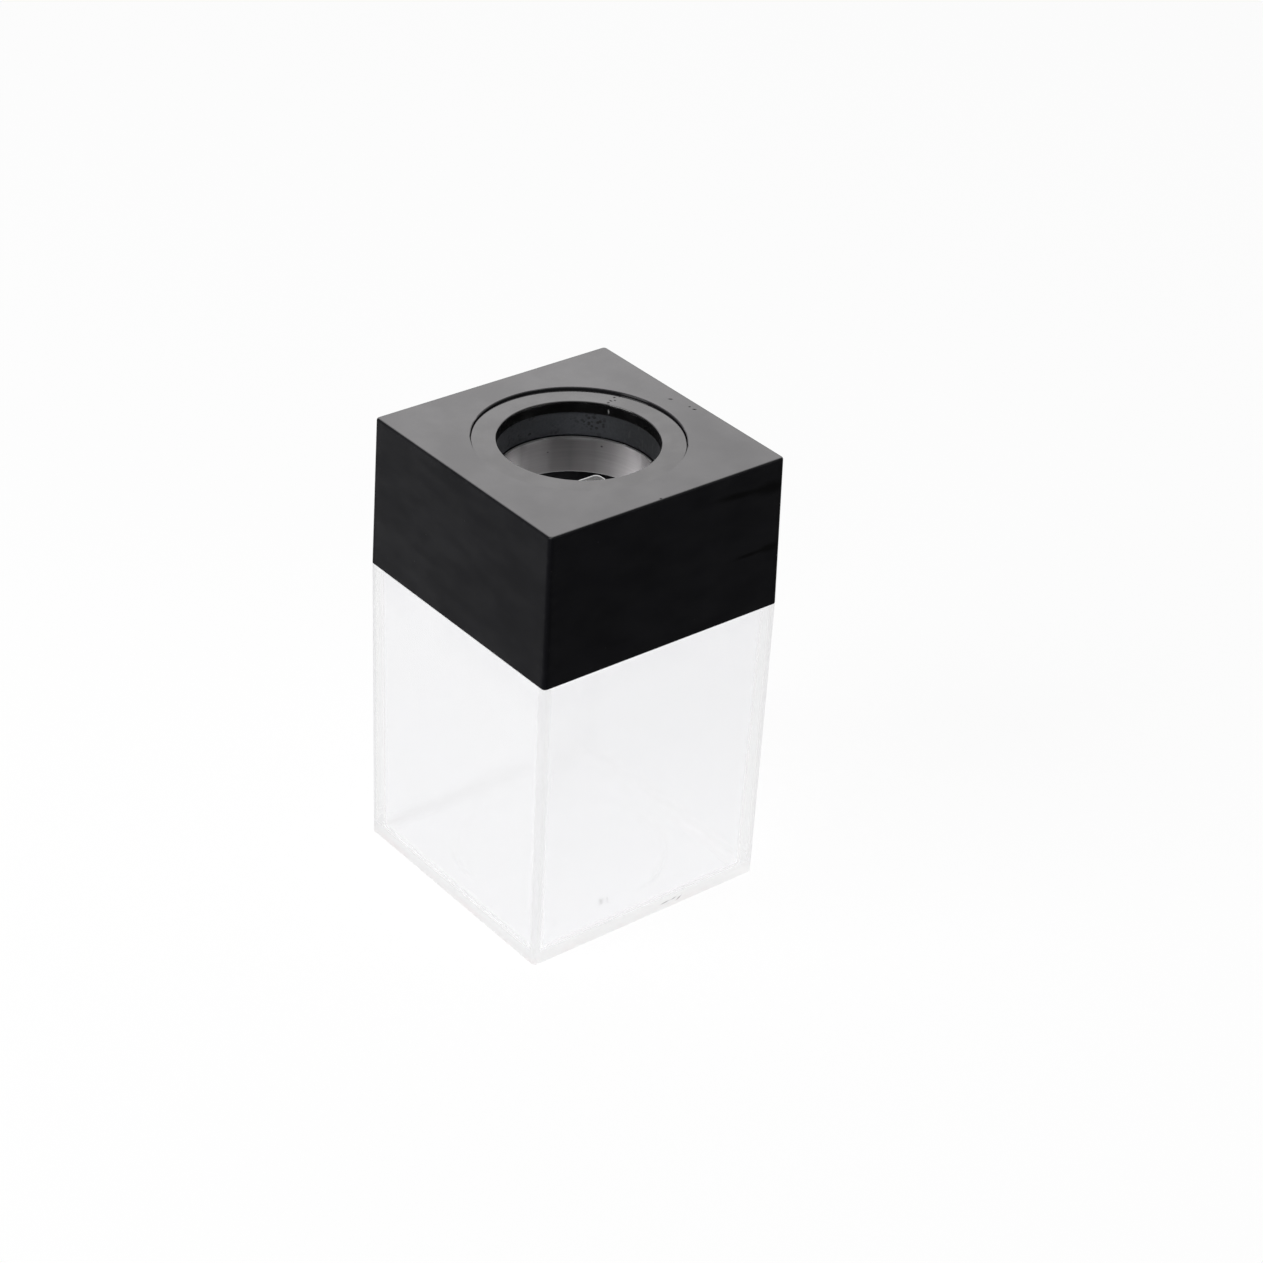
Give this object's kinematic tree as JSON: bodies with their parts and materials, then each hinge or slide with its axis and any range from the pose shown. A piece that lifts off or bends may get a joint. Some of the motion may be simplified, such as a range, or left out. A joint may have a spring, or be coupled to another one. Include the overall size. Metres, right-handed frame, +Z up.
{
  "type": "magnetic paper clip holder",
  "caption": "Square clear box with a black pull-off cap; a ring magnet under a retaining ring lines the round mouth in the cap's top and holds the clips there.",
  "frame": {"origin": "centre of the underside of the clear box, on the surface that it stands on", "axes": "+Z up through the middle of the box, the magnet and the mouth; +X and +Y square to two side walls"},
  "size_m": [0.041, 0.041, 0.07],
  "materials": {
    "clear_plastic": "clear, colourless polystyrene with polished walls",
    "black_plastic": "glossy black polystyrene with fine handling marks",
    "ferrite": "dull dark grey sintered ferrite, speckled"
  },
  "bodies": {
    "box": {"clear_box": "clear_plastic"},
    "cap": {"cap": "black_plastic", "ring_magnet": "ferrite", "retaining_ring": "black_plastic"}
  },
  "joints": [
    {"name": "cap_lift", "type": "slide", "parent": "box", "child": "cap", "axis": [0, 0, 1], "range_m": [0, 0.03]}
  ]
}
